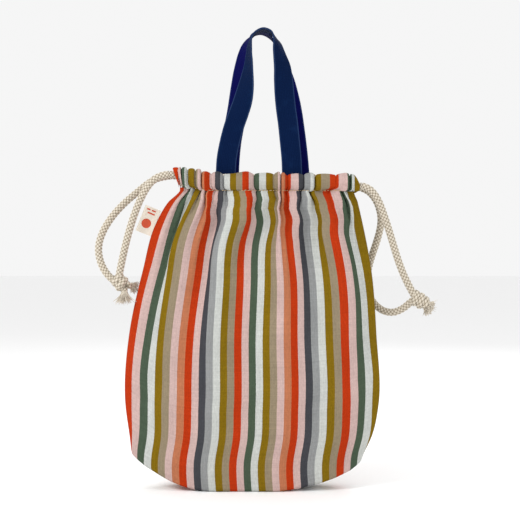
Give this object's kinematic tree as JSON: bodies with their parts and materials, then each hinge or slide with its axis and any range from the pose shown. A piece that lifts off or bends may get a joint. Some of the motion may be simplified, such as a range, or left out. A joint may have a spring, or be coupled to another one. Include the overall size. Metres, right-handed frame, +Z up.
{
  "type": "drawstring bag",
  "caption": "Striped cloth drawstring bag with a boxed base, a cord-gathered mouth, webbing carry handles and a side seam label.",
  "frame": {"origin": "on the floor under the middle of the standing bag", "axes": "+Z up through the mouth, the front faces -Y, +X to the right seen from the front"},
  "size_m": [0.424, 0.0798, 0.574],
  "materials": {
    "canvas": "striped plain-weave cotton canvas, matt",
    "lining": "plain cotton, matt",
    "webbing": "ribbed cotton webbing, matt",
    "cord": "braided natural cotton, matt",
    "thread": "tan sewing thread",
    "navy_thread": "navy sewing thread",
    "label": "woven satin, cream",
    "motif": "woven disc, red-orange"
  },
  "bodies": {
    "bag": {"front_panel": "canvas", "back_panel": "canvas", "base_panel": "canvas", "lining_front": "lining", "lining_back": "lining", "lining_base": "lining", "front_tunnel_stitching": "thread", "back_tunnel_stitching": "thread", "front_handle_sewn_ends": "webbing", "back_handle_sewn_ends": "webbing", "front_handle_bartacks": "navy_thread", "back_handle_bartacks": "navy_thread"},
    "left_mouth_end": {"left_cord_exit_hem": "canvas", "right_cord_far_turn": "cord"},
    "right_mouth_end": {"right_cord_exit_hem": "canvas", "left_cord_far_turn": "cord"},
    "left_drawcord": {"left_cord_front_strand": "cord", "left_cord_back_strand": "cord", "left_cord_tunnel_legs": "cord", "left_cord_knot": "cord", "left_cord_tails": "cord"},
    "right_drawcord": {"right_cord_front_strand": "cord", "right_cord_back_strand": "cord", "right_cord_tunnel_legs": "cord", "right_cord_knot": "cord", "right_cord_tails": "cord"},
    "side_label": {"side_label": "label", "side_label_motif": "motif"},
    "front_handle": {"front_handle": "webbing"},
    "back_handle": {"back_handle": "webbing"}
  },
  "joints": [
    {"name": "left_cord_pull", "type": "slide", "parent": "left_mouth_end", "child": "left_drawcord", "axis": [-1, 0, 0], "range_m": [0, 0.05]},
    {"name": "right_cord_pull", "type": "slide", "parent": "right_mouth_end", "child": "right_drawcord", "axis": [1, 0, 0], "range_m": [0, 0.05]},
    {"name": "left_mouth_gather", "type": "slide", "parent": "bag", "child": "left_mouth_end", "axis": [1, 0, 0], "range_m": [0, 0.025], "deforming": ["front_panel", "back_panel", "lining_front", "lining_back", "front_tunnel_stitching", "back_tunnel_stitching"]},
    {"name": "right_mouth_gather", "type": "slide", "parent": "bag", "child": "right_mouth_end", "axis": [-1, 0, 0], "range_m": [0, 0.025], "deforming": ["front_panel", "back_panel", "lining_front", "lining_back", "front_tunnel_stitching", "back_tunnel_stitching"]},
    {"name": "front_handle_swing", "type": "hinge", "parent": "bag", "child": "front_handle", "pos_m": [0.00875, -0.00915, 0.41], "axis": [1, 0, 0], "range_deg": [0, 135]},
    {"name": "back_handle_swing", "type": "hinge", "parent": "bag", "child": "back_handle", "pos_m": [0.016, 0.00915, 0.41], "axis": [-1, 0, 0], "range_deg": [0, 135]},
    {"name": "label_flap", "type": "hinge", "parent": "left_mouth_end", "child": "side_label", "pos_m": [-0.12165, 0, 0.32995], "axis": [0.3748, 0, 0.9271], "range_deg": [-65, 65]}
  ],
  "couplings": [
    {"joint": "right_cord_pull", "follows": "left_cord_pull", "ratio": 1},
    {"joint": "left_mouth_gather", "follows": "left_cord_pull", "ratio": 0.5},
    {"joint": "right_mouth_gather", "follows": "left_cord_pull", "ratio": 0.5}
  ]
}
